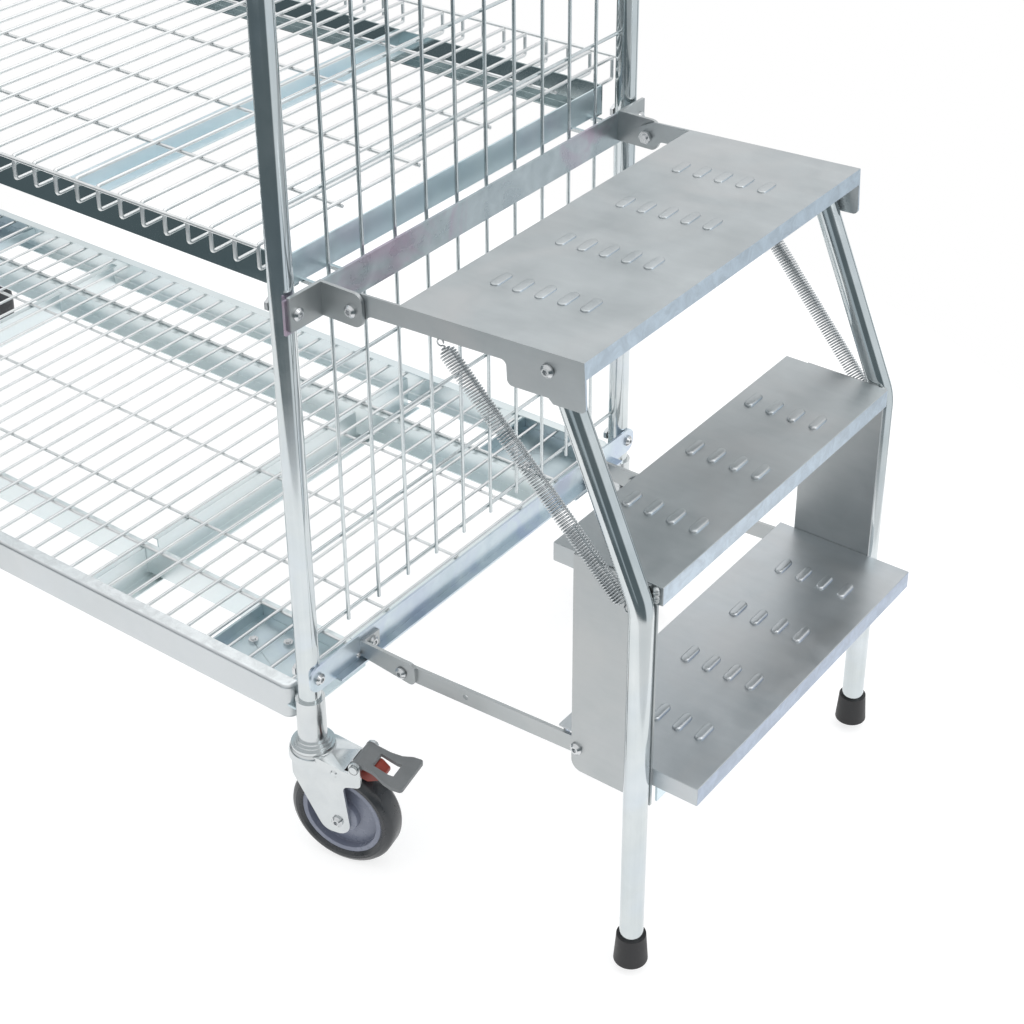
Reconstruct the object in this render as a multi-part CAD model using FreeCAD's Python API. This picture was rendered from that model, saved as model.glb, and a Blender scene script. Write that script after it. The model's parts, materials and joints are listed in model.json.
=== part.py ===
import FreeCAD, Part
import math
import os

V = FreeCAD.Vector

# Driving sizes in mm. The steps are on the +X end, +Y is the far side, +Z is up.
post_span = 1250.0
post_y = 290.0
tube_d = 25.0
tube_wall = 1.75
bow_height = 1650.0
bow_bend = 80.0
wheel_d = 125.0
post_over_tyre = 39.0
post_foot_z = wheel_d + post_over_tyre
touch_gap = 0.5
run_fit = 0.05

# Wire meshes
wire_d = 4.0
mesh_pitch_y = 50.0
mesh_columns = 10
mesh_pitch_z = 100.0
mesh_rows = 13
mesh_overhang = 8.0

# Deck
rail_past_post = 13.0
deck_outer_y = post_y + rail_past_post
deck_over_tyre = 46.0
rail_height = 45.0
deck_low_z = wheel_d + deck_over_tyre
deck_high_z = deck_low_z + rail_height
mesh_over_deck = 62.0
mesh_low_z = deck_high_z + mesh_over_deck
rail_sheet = 2.0
rail_flange = 16.0
rail_round = 5.0
rail_corner = 12.0
rail_end_x = -18.0
deck_wire_drop = 10.5
deck_wire_z = deck_high_z - deck_wire_drop
deck_wire_ys = (-200.0, -126.0, 0.0, 126.0, 200.0)
deck_wire_count = 39
deck_wire_end_x = -28.0
beam_y = 200.0
beam_flange = 20.0
beam_lip = 10.0
beam_end_x = -24.0
cross_x = -340.0
cross_drop = 7.0
cross_low_z = deck_low_z - cross_drop
cross_flange = 20.0
cross_notch = 6.0
cross_notch_z = cross_low_z + cross_notch
corner_plate_x = -155.0
corner_plate_rise = 18.0
corner_plate_z = deck_low_z + corner_plate_rise
corner_plate_sheet = 3.0
corner_bolts = ((-127.0, 243.0), (-92.0, 224.0))
socket_d = 32.0
socket_over_tyre = 29.0
socket_height = 52.0
socket_low_z = wheel_d + socket_over_tyre
socket_high_z = socket_low_z + socket_height
socket_gap = 0.1

# Shelf
shelf_over_deck = 520.0
shelf_wire_z = deck_high_z + shelf_over_deck
shelf_wire_ys = (-178.3, -59.4, 59.4, 178.3)
shelf_past_post = 5.5
shelf_half_y = post_y + shelf_past_post
shelf_hook_drop = 30.0
shelf_wire_count = 40
shelf_wire_end_x = -22.0
shelf_hook_back = 29.5
shelf_beam_y = shelf_half_y - shelf_hook_back
shelf_beam_flange = 18.0
shelf_end_x = -16.0
shelf_frame_drop = 21.0
shelf_angle_height = 34.0
shelf_end_high_z = shelf_wire_z - shelf_frame_drop
shelf_end_low_z = shelf_end_high_z - shelf_angle_height
shelf_beam_low_z = shelf_end_low_z - rail_sheet
shelf_cross_x = -314.0
shelf_cross_height = 18.0
shelf_cross_high_z = shelf_end_high_z - rail_sheet * 2
clip_half_width = 21.0
clip_y = 225.0
clip_below = 1.0
clip_z = shelf_end_low_z - clip_below

# Bars and brackets that carry the steps
top_bar_x = 15.5
top_bar_over_deck = 440.0
top_bar_low_z = deck_high_z + top_bar_over_deck
top_bar_height = 37.0
top_bar_high_z = top_bar_low_z + top_bar_height
bar_past_post = 13.0
bar_half_y = post_y + bar_past_post
low_bar_x = 15.0
low_bar_over_deck = 5.0
low_bar_low_z = deck_high_z + low_bar_over_deck
low_bar_height = 32.0
low_bar_high_z = low_bar_low_z + low_bar_height
low_bar_end_round = 14.0
low_bar_flange_x = 24.0
top_bolt_rise = 20.0
top_bolt_z = top_bar_low_z + top_bolt_rise
low_bolt_z = low_bar_low_z + low_bar_height / 2
bracket_sheet = 4.0
bracket_y = 256.0
bracket_past_post = 10.0
bracket_foot_y = post_y + bracket_past_post
bracket_rise = 4.0
bracket_height = 36.0
bracket_low_z = top_bar_low_z + bracket_rise
bracket_high_z = bracket_low_z + bracket_height
bracket_nose = 14.0
bracket_corner_share = 0.28
strut_bracket_foot_y = 196.0
strut_bracket_nose = 18.0
strut_root_low = 5.0
strut_root_height = 20.0
strut_nose_below = 11.5
strut_nose_above = 16.0

# Step linkage: four pivots in an exact parallelogram
hinge_a = (56.0, top_bolt_z)
strut_pivot_rise = 9.0
strut_d_pivot = (72.5, low_bar_low_z + strut_pivot_rise)
strut_root_low_z = low_bar_low_z + strut_root_low
strut_bracket_root_z = (strut_root_low_z, strut_root_low_z + strut_root_height)
strut_bracket_nose_z = (strut_d_pivot[1] - strut_nose_below, strut_d_pivot[1] + strut_nose_above)
link = 227.0
rest_tilt = math.radians(2.8)
pivot_bolt_d = 8.0
open_pivot_gap = 0.3
strut_height = 20.0
strut_thick = 4.0
strut_y = 220.0
strut_screw_y = (strut_bracket_foot_y + strut_y) / 2
bar_screw_y = strut_y + bracket_sheet * 2
bar_screw_z = low_bar_low_z + bracket_sheet * 2
bar_screw_d = 4.0
strut_hole_along = 83.0
strut_hole_d = 6.0

# Platform, along the line between its two pivots
sheet = 2.5
platform_back = 57.0
platform_front = 267.0
platform_rise = 18.8
platform_y = 251.5
flange_drop = 22.0
arm_round = 10.0
ear_back = 180.0
ear_drop = 52.0
ear_step = 5.0
ear_step_at = 226.0
corner_round = 6.0
front_lip = 18.0

# Treads, side plates, legs and feet in the rest pose
tread_y = 220.5
low_tread_rise = 28.6
step_rise = 219.4
low_tread = (275.0, 440.0, strut_d_pivot[1] + low_tread_rise)
mid_tread = (267.0, 392.5, low_tread[2] + step_rise)
tread_lip = 21.0
strut_notch_x = 316.0
back_lip_y = 212.0
plate_sheet = 3.0
plate_back_x = 293.0
plate_front_x = 388.0
plate_past_pivot = 17.0
plate_low_z = strut_d_pivot[1] - plate_past_pivot
plate_top_drop = 1.0
plate_round = 12.0
leg_x = 379.3
leg_y = 236.0
leg_bend_drop = 18.0
leg_bend_z = mid_tread[2] - leg_bend_drop
leg_bend = 60.0
leg_top_past_pivot = 8.0
foot_clearance = 11.1
foot_height = 34.0
foot_low_d = 36.0
foot_high_d = 31.0
foot_sole = 6.0
tie_height = 18.0
slot_length = 26.0
slot_width = 9.0
slot_rise = 1.2
slot_pitch = 26.0
mid_slot_count = 4
mid_slot_group_y = 116.0
mid_slot_first_x = 287.0
low_slot_count = 4
low_slot_group_y = 97.0
low_slot_first_x = 322.0
platform_slot_count = 5
platform_slot_group_y = 105.0
platform_slot_first = 105.0

# Springs
spring_wire = 2.0
spring_coil_r = 6.0
spring_turns = 36
spring_below_bend = 11.0
spring_low_z = leg_bend_z - spring_below_bend
spring_hook_along = 101.0
spring_lead = 4.0
spring_hook_run = 12.0

# Casters, in a caster's own frame: X along the trail, Z above the tyre's top
wheel_width = 32.0
tyre_depth = 14.0
tyre_inner_d = wheel_d - 2 * tyre_depth
tyre_round = 7.0
caster_trail = 37.6
caster_yaw = 11.5
axle_d = 8.0
axle_half = 30.0
fork_sheet = 3.0
fork_gap = 2.5
crown_high_z = 18.0
dome_d = 54.0
dome_round = 6.0
dome_skirt_z = 6.0
tongue_start = 18.0
tongue_front = 48.0
tongue_drop = 7.0
fork_back = 15.0
fork_back_z = -13.0
fork_boss = 17.0
fork_throat = (46.5, -11.0)
nose_front = 69.0
nose_low_z = -5.0
nose_r = 7.2
rivet = (36.5, 4.0)
rivet_d = 9.0
rivet_height = 1.5
race_gap = 0.4
race_d = 48.0
race_mid_d = 42.0
race_neck_d = 37.0
king_pin_d = 14.0
king_pin_top_z = 24.0
stem_d = 20.0
stem_top_z = 67.0
hub_d = 40.0
hub_crown_d = 26.0
hub_crown = 4.0
hub_web = 12.0
hub_dish = 2.0
rim_wall = 6.0
pedal_pivot = (62.0, 19.0)
pedal_pin_d = 7.0
pedal_pin_head_d = 11.0
pedal_pin_head = 2.0
pedal_barrel_d = 14.0
pedal_sheet = 4.5
pedal_tops = ((62.0, 26.0), (80.0, 22.0), (97.0, 16.0), (121.0, 16.0))
pedal_neck_y = 18.0
pedal_half_y = 26.0
pedal_flare = (84.0, 108.0)
pedal_corner = 4.0
pedal_window = (78.0, 103.0)
pedal_window_half_y = 10.0
shoe_half_y = 9.0
shoe_heel = ((57.0, 16.0), (57.5, -1.0), (70.5, -4.0))
shoe_toe = ((84.0, 2.0), (89.0, 4.0), (89.0, 9.0), (80.0, 17.0))
shoe_round = 2.0

# Fasteners
frame_bolt_d = 8.0
small_bolt_d = 6.0
head_share = 1.7
head_height_share = 0.56
head_brim_share = 0.45
head_crown_share = 0.62
head_socket_share = 0.62
head_socket_depth_share = 0.5


def box(x_range, y_range, z_range):
    corner = V(x_range[0], y_range[0], z_range[0])
    size = [r[1] - r[0] for r in (x_range, y_range, z_range)]
    return Part.makeBox(size[0], size[1], size[2], corner)


def mirrored_y(shape):
    return shape.mirror(V(0, 0, 0), V(0, 1, 0))


def at_far_end(shape):
    return shape.mirror(V(-post_span / 2, 0, 0), V(1, 0, 0))


def both_sides(shape):
    return [shape, mirrored_y(shape)]


def corner_arc(before, corner, after, radius):
    """Start, middle and end of the round that takes a corner off a path."""
    a = (before - corner).normalize()
    b = (after - corner).normalize()
    half = a.getAngle(b) / 2
    middle_way = (a + b).normalize()
    start = corner + a * (radius / math.tan(half))
    end = corner + b * (radius / math.tan(half))
    middle = corner + middle_way * (radius / math.sin(half) - radius)
    return start, middle, end


def rounded_path(points, radii, closed):
    """Edges of lines and arcs through the points, with a radius at each corner."""
    count = len(points)
    stops = []
    for i, p in enumerate(points):
        inner = closed or 0 < i < count - 1
        if inner and radii[i] > 0:
            stops.append(corner_arc(points[i - 1], p, points[(i + 1) % count], radii[i]))
        else:
            stops.append((p, None, p))
    edges = []
    for i, (start, middle, end) in enumerate(stops):
        if middle is not None:
            edges.append(Part.Arc(start, middle, end).toShape())
        if i + 1 < count or closed:
            following = stops[(i + 1) % count][0]
            if (following - end).Length > touch_gap / 100:
                edges.append(Part.makeLine(end, following))
    return Part.Wire(Part.__sortEdges__(edges))


def plate_xz(points, radii, y_range):
    outline = rounded_path([V(x, y_range[0], z) for x, z in points], radii, True)
    return Part.Face(outline).extrude(V(0, y_range[1] - y_range[0], 0))


def profile_x(points, x_range):
    """A section drawn in Y and Z, run along X."""
    outline = Part.makePolygon([V(x_range[0], y, z) for y, z in points + points[:1]])
    return Part.Face(outline).extrude(V(x_range[1] - x_range[0], 0, 0))


def profile_y(points, y_range):
    """A section drawn in X and Z, run along Y."""
    outline = Part.makePolygon([V(x, y_range[0], z) for x, z in points + points[:1]])
    return Part.Face(outline).extrude(V(0, y_range[1] - y_range[0], 0))


def round_bar(start, end, diameter):
    return Part.makeCylinder(diameter / 2, (end - start).Length, start, end - start)


def pipe(points, bend, diameter, wall):
    path = rounded_path(points, [bend] * len(points), False)
    shells = []
    for d in (diameter, diameter - 2 * wall):
        ring = Part.Wire(Part.makeCircle(d / 2, points[0], points[1] - points[0]))
        shells.append(path.makePipeShell([ring], True, False))
    return shells[0].cut(shells[1])


def turned(profile, centre, axis):
    """Solid of revolution from points of radius and height about an axis through centre."""
    ring = [V(r, 0, h) for r, h in profile]
    solid = Part.Face(Part.makePolygon(ring + ring[:1])).revolve(V(0, 0, 0), V(0, 0, 1), 360)
    solid.Placement = FreeCAD.Placement(centre, FreeCAD.Rotation(V(0, 0, 1), axis))
    return solid


def hexagon(base, axis, across, height):
    corner_r = across / math.sqrt(3)
    angles = [k * math.pi / 3 for k in range(7)]
    ring = [V(corner_r * math.cos(a), corner_r * math.sin(a), 0) for a in angles]
    nut = Part.Face(Part.makePolygon(ring)).extrude(V(0, 0, height))
    nut.Placement = FreeCAD.Placement(base, FreeCAD.Rotation(V(0, 0, 1), axis))
    return nut


def bolt(head_face, nut_face, diameter):
    """Round socket head outside head_face, nut outside nut_face, shank a little past the nut."""
    axis = (nut_face - head_face).normalize()
    head = diameter * head_height_share
    across = diameter * head_share
    shank = round_bar(head_face, nut_face + axis * (head + diameter / 4), diameter)
    outline = [(0, 0), (across / 2, 0), (across / 2, head * head_brim_share)]
    outline += [(across / 2 * head_crown_share, head), (0, head)]
    cap = turned(outline, head_face, axis * -1)
    key_across = diameter * head_socket_share
    key = hexagon(head_face - axis * head, axis, key_across, head * head_socket_depth_share)
    return shank.multiFuse([cap.cut(key), hexagon(nut_face, axis, across, head)]).removeSplitter()


def drilled(solid, start, end, diameter):
    return solid.cut(round_bar(start, end, diameter))


def group(solids):
    return Part.makeCompound(solids)


def welded(bars):
    return bars[0].multiFuse(bars[1:])


def link_point(pivot, along, rise=0):
    """A point of a link that leans by the rest tilt from its pivot."""
    c = math.cos(rest_tilt)
    s = math.sin(rest_tilt)
    return (pivot[0] + along * c - rise * s, pivot[1] + along * s + rise * c)


hinge_b = link_point(hinge_a, link)
strut_c_pivot = link_point(strut_d_pivot, link)
tube_r = tube_d / 2
post_face_x = tube_r


def end_bow():
    top = bow_height - tube_r
    corners = [V(0, -post_y, post_foot_z), V(0, -post_y, top), V(0, post_y, top), V(0, post_y, post_foot_z)]
    return pipe(corners, bow_bend, tube_d, tube_wall)


def step_end_bow():
    bow = end_bow()
    for z in (top_bolt_z, low_bolt_z):
        for y in (-post_y, post_y):
            bow = drilled(bow, V(-tube_d, y, z), V(tube_d, y, z), frame_bolt_d)
    return bow


def end_mesh():
    bars = []
    first_y = -mesh_pitch_y * (mesh_columns - 1) / 2
    high_z = mesh_low_z + mesh_pitch_z * (mesh_rows - 1)
    for i in range(mesh_columns):
        y = first_y + i * mesh_pitch_y
        z_range = (mesh_low_z - mesh_overhang, high_z + mesh_overhang)
        bars.append(box((0, wire_d), (y - wire_d / 2, y + wire_d / 2), z_range))
    reach = post_y - tube_r
    for i in range(mesh_rows):
        z = mesh_low_z + i * mesh_pitch_z
        bars.append(box((-wire_d, 0), (-reach, reach), (z - wire_d / 2, z + wire_d / 2)))
    return welded(bars)


def rail_block(inset):
    """Block that fills the front rail, less an inset on every side but the open one."""
    y = inset - deck_outer_y
    open_y = rail_flange - deck_outer_y
    low_x = inset - post_span - rail_end_x
    high_x = rail_end_x - inset
    low_z = deck_low_z + inset
    high_z = deck_high_z - inset
    plan = [V(low_x, open_y, low_z), V(low_x, y, low_z), V(high_x, y, low_z), V(high_x, open_y, low_z)]
    corner = rail_corner - inset
    block = Part.Face(rounded_path(plan, (0, corner, corner, 0), True)).extrude(V(0, 0, high_z - low_z))
    level = [e for e in block.Edges if abs(e.BoundBox.ZLength) < touch_gap]
    outer = [e for e in level if e.BoundBox.YMin < open_y - touch_gap]
    return block.makeFillet(rail_round - inset, outer)


def deck_rail():
    """Front rail: a channel open inwards, with rounded folds and ends that turn in round the corners."""
    rail = rail_block(0).cut(rail_block(rail_sheet))
    for plate in (corner_plate_floor(), at_far_end(corner_plate_floor())):
        rail = rail.cut(plate)
    return rail


def deck_beam():
    """Front inner beam: web with a lip at the top and a flange at the bottom, both turned inwards."""
    y = -beam_y
    web = y + rail_sheet
    section = [(y, deck_low_z), (y + beam_flange, deck_low_z), (y + beam_flange, deck_low_z + rail_sheet)]
    section += [(web, deck_low_z + rail_sheet), (web, deck_wire_z - rail_sheet)]
    section += [(y + beam_lip, deck_wire_z - rail_sheet), (y + beam_lip, deck_wire_z), (y, deck_wire_z)]
    return profile_x(section, (-post_span - beam_end_x, beam_end_x))


def z_bar(x, low, high, flange, lip, y_range):
    """Cross member: lip towards -X on top, web, flange towards +X at the bottom."""
    t = rail_sheet
    section = [(x - t, low), (x + flange, low), (x + flange, low + t), (x, low + t), (x, high)]
    section += [(x - lip, high), (x - lip, high - t), (x - t, high - t)]
    return profile_y(section, y_range)


def deck_cross_member():
    reach = deck_outer_y - rail_flange
    member = z_bar(cross_x, cross_low_z, deck_wire_z, cross_flange, beam_lip, (-reach, reach))
    near = (-beam_y - touch_gap, -beam_y + beam_flange + touch_gap)
    long_way = (cross_x - post_y, cross_x + post_y)
    for notch in both_sides(box(long_way, near, (cross_notch_z, deck_high_z))):
        member = member.cut(notch)
    return member


def deck_end_member():
    inner = beam_y - rail_sheet
    x = beam_end_x
    low = deck_wire_z - rail_sheet
    web = box((x - rail_sheet, x), (-inner, inner), (deck_low_z + rail_sheet, low))
    lip = box((x - beam_lip, x), (beam_lip - inner, inner - beam_lip), (low, deck_wire_z))
    return web.fuse(lip).removeSplitter()


def deck_mesh():
    bars = []
    for y in deck_wire_ys:
        x_range = (-post_span - deck_wire_end_x, deck_wire_end_x)
        bars.append(box(x_range, (y - wire_d / 2, y + wire_d / 2), (deck_wire_z, deck_wire_z + wire_d)))
    reach = deck_outer_y - rail_round
    pitch = (post_span + 2 * deck_wire_end_x - wire_d) / (deck_wire_count - 1)
    for i in range(deck_wire_count):
        x = deck_wire_end_x - wire_d / 2 - i * pitch
        z_range = (deck_wire_z + wire_d, deck_wire_z + 2 * wire_d)
        bars.append(box((x - wire_d / 2, x + wire_d / 2), (-reach, reach), z_range))
    return welded(bars)


def socket(y):
    outside = Part.makeCylinder(socket_d / 2, socket_high_z - socket_low_z, V(0, y, socket_low_z))
    bore = Part.makeCylinder(tube_r + socket_gap, socket_high_z - post_foot_z, V(0, y, post_foot_z))
    stem_way = Part.makeCylinder(stem_d / 2, post_foot_z - socket_low_z, V(0, y, socket_low_z))
    return outside.cut(bore).cut(stem_way)


def corner_plate_floor():
    y_range = (-deck_outer_y + rail_sheet, -beam_y)
    return box((corner_plate_x, 0), y_range, (corner_plate_z, corner_plate_z + corner_plate_sheet))


def corner_plate():
    """Front plate at the step end: it joins rail, beam and socket, and its upturned edge stiffens it."""
    t = corner_plate_sheet
    y_range = (-deck_outer_y + rail_sheet, -beam_y)
    edge = box((corner_plate_x, corner_plate_x + t), y_range, (corner_plate_z, deck_wire_z))
    plate = corner_plate_floor().fuse(edge).removeSplitter()
    plate = plate.cut(Part.makeCylinder(socket_d / 2, deck_high_z, V(0, -post_y, 0)))
    for x, y in corner_bolts:
        plate = drilled(plate, V(x, -y, corner_plate_z - t), V(x, -y, deck_wire_z), small_bolt_d)
    return plate


def corner_bolt_pair():
    high = corner_plate_z + corner_plate_sheet
    return [bolt(V(x, -y, corner_plate_z), V(x, -y, high), small_bolt_d) for x, y in corner_bolts]


def four_corners(solids):
    quarter = list(solids)
    half = quarter + [mirrored_y(s) for s in quarter]
    return half + [at_far_end(s) for s in half]


def shelf_beam():
    """Front shelf beam: an angle with its foot inwards; the wires' hooks end on its face."""
    y = -shelf_beam_y
    t = rail_sheet
    low = shelf_beam_low_z
    high = shelf_end_high_z
    inner = y + shelf_beam_flange
    section = [(y, low), (inner, low), (inner, low + t), (y + t, low + t), (y + t, high), (y, high)]
    return profile_x(section, (-post_span - shelf_end_x, shelf_end_x))


def shelf_end_beam():
    """End angle of the shelf, its foot on the feet of the front and rear angles."""
    reach = shelf_beam_y - rail_sheet
    x = shelf_end_x
    t = rail_sheet
    low = shelf_end_low_z
    high = shelf_end_high_z
    inner = x - shelf_beam_flange
    section = [(x, low), (x, high), (x - t, high), (x - t, low + t), (inner, low + t), (inner, low)]
    return profile_y(section, (-reach, reach))


def shelf_cross_member():
    reach = shelf_beam_y - rail_sheet
    low = shelf_cross_high_z - shelf_cross_height
    return z_bar(shelf_cross_x, low, shelf_cross_high_z, cross_flange, beam_lip, (-reach, reach))


def shelf_hook_wire(x):
    """One cross wire of the shelf, bent down at both ends and back in to the beams."""
    d = wire_d
    top = shelf_wire_z + d
    low = top - shelf_hook_drop
    h = shelf_half_y
    b = shelf_beam_y
    half = [(0, top), (h, top), (h, low), (b, low), (b, low + d), (h - d, low + d)]
    half += [(h - d, top - d), (0, top - d)]
    bar = profile_x(half, (x - d / 2, x + d / 2))
    return bar.fuse(mirrored_y(bar)).removeSplitter()


def shelf_mesh():
    d = wire_d
    pitch = (post_span + 2 * shelf_wire_end_x) / (shelf_wire_count - 1)
    bars = [shelf_hook_wire(shelf_wire_end_x - i * pitch) for i in range(shelf_wire_count)]
    x_range = (-post_span - shelf_wire_end_x - d, shelf_wire_end_x + d)
    for y in shelf_wire_ys:
        bars.append(box(x_range, (y - d / 2, y + d / 2), (shelf_wire_z - d, shelf_wire_z)))
    edge = (-shelf_half_y - d, -shelf_half_y)
    bars += both_sides(box(x_range, edge, (shelf_wire_z, shelf_wire_z + d)))
    return welded(bars)


def shelf_clip():
    """Wire loop from the shelf end beam round one upright wire of the end mesh."""
    d = wire_d
    z_range = (clip_z, clip_z + d)
    near = -clip_y - clip_half_width
    far = -clip_y + clip_half_width
    out = wire_d + d / 2
    legs = [box((shelf_end_x, out), (y, y + d), z_range) for y in (near, far - d)]
    front = box((out - d / 2, out + d / 2), (near, far), z_range)
    return legs[0].multiFuse([legs[1], front]).removeSplitter()


def top_bar():
    bar = box((post_face_x, top_bar_x), (-bar_half_y, bar_half_y), (top_bar_low_z, top_bar_high_z))
    for y in (-post_y, post_y):
        bar = drilled(bar, V(0, y, top_bolt_z), V(tube_d, y, top_bolt_z), frame_bolt_d)
    return bar


def low_bar():
    """Flat bar across the posts with rounded ends, and a flange between the posts."""
    end_y = bar_half_y
    corners = [(-end_y, low_bar_low_z), (end_y, low_bar_low_z)]
    corners += [(end_y, low_bar_high_z), (-end_y, low_bar_high_z)]
    outline = rounded_path([V(post_face_x, y, z) for y, z in corners], [low_bar_end_round] * 4, True)
    bar = Part.Face(outline).extrude(V(low_bar_x - post_face_x, 0, 0))
    reach = post_y - tube_d
    flange = box((post_face_x, low_bar_flange_x), (-reach, reach), (low_bar_low_z, low_bar_low_z + sheet))
    bar = bar.fuse(flange).removeSplitter()
    for y in (-post_y, post_y, -strut_screw_y, strut_screw_y):
        bar = drilled(bar, V(0, y, low_bolt_z), V(low_bar_x, y, low_bolt_z), frame_bolt_d)
    for y in (-bar_screw_y, bar_screw_y):
        bar = drilled(bar, V(0, y, bar_screw_z), V(low_bar_x, y, bar_screw_z), bar_screw_d)
    return bar


def angle_bracket(face_x, foot_y, blade_y, root_z, nose_z, nose, pivot, screw):
    """Folded bracket: a foot on a bar and a blade with rounded corners that holds the pivot."""
    sides = (-blade_y, -blade_y + bracket_sheet)
    foot_range = (min(-foot_y, sides[0]), max(-foot_y, sides[1]))
    foot = box((face_x, face_x + bracket_sheet), foot_range, root_z)
    end = pivot[0] + nose
    blade_points = [(face_x, root_z[0]), (end, nose_z[0]), (end, nose_z[1]), (face_x, root_z[1])]
    corner = (nose_z[1] - nose_z[0]) * bracket_corner_share
    blade = plate_xz(blade_points, (0, corner, corner, 0), sides)
    bracket = foot.fuse(blade).removeSplitter()
    across = (V(pivot[0], -blade_y - bracket_sheet, pivot[1]), V(pivot[0], 0, pivot[1]))
    bracket = drilled(bracket, across[0], across[1], pivot_bolt_d)
    return drilled(bracket, V(0, -screw[0], screw[1]), V(2 * tube_d, -screw[0], screw[1]), frame_bolt_d)


def hinge_bracket():
    z_range = (bracket_low_z, bracket_high_z)
    screw = (post_y, top_bolt_z)
    return angle_bracket(top_bar_x, bracket_foot_y, bracket_y, z_range, z_range, bracket_nose, hinge_a, screw)


def strut_bracket():
    """Widening blade on the low bar; its foot and screw are behind the blade."""
    screw = (strut_screw_y, low_bolt_z)
    root_z = strut_bracket_root_z
    nose_z = strut_bracket_nose_z
    blade_y = strut_y + bracket_sheet
    nose = strut_bracket_nose
    return angle_bracket(low_bar_x, strut_bracket_foot_y, blade_y, root_z, nose_z, nose, strut_d_pivot, screw)


def frame_bolts():
    front = top_bar_x + bracket_sheet
    near = [bolt(V(front, -post_y, top_bolt_z), V(-post_face_x, -post_y, top_bolt_z), frame_bolt_d)]
    near.append(bolt(V(low_bar_x, -post_y, low_bolt_z), V(-post_face_x, -post_y, low_bolt_z), frame_bolt_d))
    screw_head = V(low_bar_x + bracket_sheet, -strut_screw_y, low_bolt_z)
    near.append(bolt(screw_head, V(post_face_x, -strut_screw_y, low_bolt_z), frame_bolt_d))
    bar_screw = (V(low_bar_x, -bar_screw_y, bar_screw_z), V(post_face_x, -bar_screw_y, bar_screw_z))
    near.append(bolt(bar_screw[0], bar_screw[1], bar_screw_d))
    return near + [mirrored_y(s) for s in near]


def pivot_bolt(pivot, head_y, nut_y):
    return bolt(V(pivot[0], -head_y, pivot[1]), V(pivot[0], -nut_y, pivot[1]), pivot_bolt_d)


def hinge_bolts():
    platform_nut = platform_y - sheet - touch_gap
    strut_nut = strut_y - strut_thick - touch_gap
    near = [pivot_bolt(hinge_a, bracket_y, platform_nut)]
    near.append(pivot_bolt(strut_d_pivot, strut_y + bracket_sheet + touch_gap, strut_nut))
    return near + [mirrored_y(s) for s in near]


def step_bolts():
    leg_inside = leg_y - tube_r
    strut_nut = strut_y - strut_thick - touch_gap
    near = [pivot_bolt(hinge_b, platform_y + touch_gap, leg_inside)]
    near.append(pivot_bolt(strut_c_pivot, tread_y + plate_sheet, strut_nut))
    return near + [mirrored_y(s) for s in near]


def slot_emboss(x, y, z):
    """Raised grip oblong, long across the tread, with six corners."""
    half = slot_length / 2
    w = slot_width / 2
    ring = [(-w, w - half), (0, -half), (w, w - half), (w, half - w), (0, half), (-w, half - w)]
    outline = Part.makePolygon([V(x + a, y + b, z) for a, b in ring + ring[:1]])
    return Part.Face(outline).extrude(V(0, 0, slot_rise))


def slot_rows(first_x, count, ys, z):
    return [slot_emboss(first_x + i * slot_pitch, y, z) for y in ys for i in range(count)]


def tread_pan(x_range, top, lip):
    """Open-bottomed pan of folded sheet with lips on all four sides."""
    outside = box(x_range, (-tread_y, tread_y), (top - lip, top))
    inner_x = (x_range[0] + sheet, x_range[1] - sheet)
    return outside.cut(box(inner_x, (sheet - tread_y, tread_y - sheet), (top - lip, top - sheet)))


def mid_step():
    pan = tread_pan(mid_tread[:2], mid_tread[2], tread_lip)
    group_y = mid_slot_group_y
    return pan.multiFuse(slot_rows(mid_slot_first_x, mid_slot_count, (-group_y, 0, group_y), mid_tread[2]))


def low_step():
    pan = tread_pan(low_tread[:2], low_tread[2], tread_lip)
    lip_range = (low_tread[2] - tread_lip, low_tread[2] - sheet)
    for way in both_sides(box((low_tread[0], strut_notch_x), (-tread_y, -back_lip_y), lip_range)):
        pan = pan.cut(way)
    ys = [low_slot_group_y * k / 2 for k in (-3, -1, 1, 3)]
    return pan.multiFuse(slot_rows(low_slot_first_x, low_slot_count, ys, low_tread[2]))


def side_plate():
    top = mid_tread[2] - plate_top_drop
    points = [(plate_back_x, plate_low_z), (plate_front_x, plate_low_z)]
    points += [(plate_front_x, mid_tread[2] - tread_lip), (leg_x, top), (plate_back_x, top)]
    plate = plate_xz(points, (plate_round, 0, 0, 0, 0), (-tread_y - plate_sheet, -tread_y))
    x, z = strut_c_pivot
    return drilled(plate, V(x, -leg_y, z), V(x, 0, z), pivot_bolt_d)


def leg():
    lean = math.atan2(leg_x - hinge_b[0], hinge_b[1] - leg_bend_z)
    top = V(hinge_b[0] - leg_top_past_pivot * math.sin(lean), -leg_y,
            hinge_b[1] + leg_top_past_pivot * math.cos(lean))
    foot = V(leg_x, -leg_y, foot_clearance + foot_sole)
    tube = pipe([top, V(leg_x, -leg_y, leg_bend_z), foot], leg_bend, tube_d, tube_wall)
    x, z = hinge_b
    return drilled(tube, V(x, -leg_y - tube_d, z), V(x, tube_d - leg_y, z), pivot_bolt_d)


def foot_cap():
    base = V(leg_x, -leg_y, foot_clearance)
    cone = Part.makeCone(foot_low_d / 2, foot_high_d / 2, foot_height, base)
    return cone.cut(Part.makeCylinder(tube_r, foot_height, base + V(0, 0, foot_sole)))


def tie_bar():
    """Flat bar welded under the side lips of the low tread, in front of the legs."""
    x = leg_x + tube_r
    high = low_tread[2] - tread_lip
    return box((x, x + sheet), (-tread_y, tread_y), (high - tie_height, high))


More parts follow.
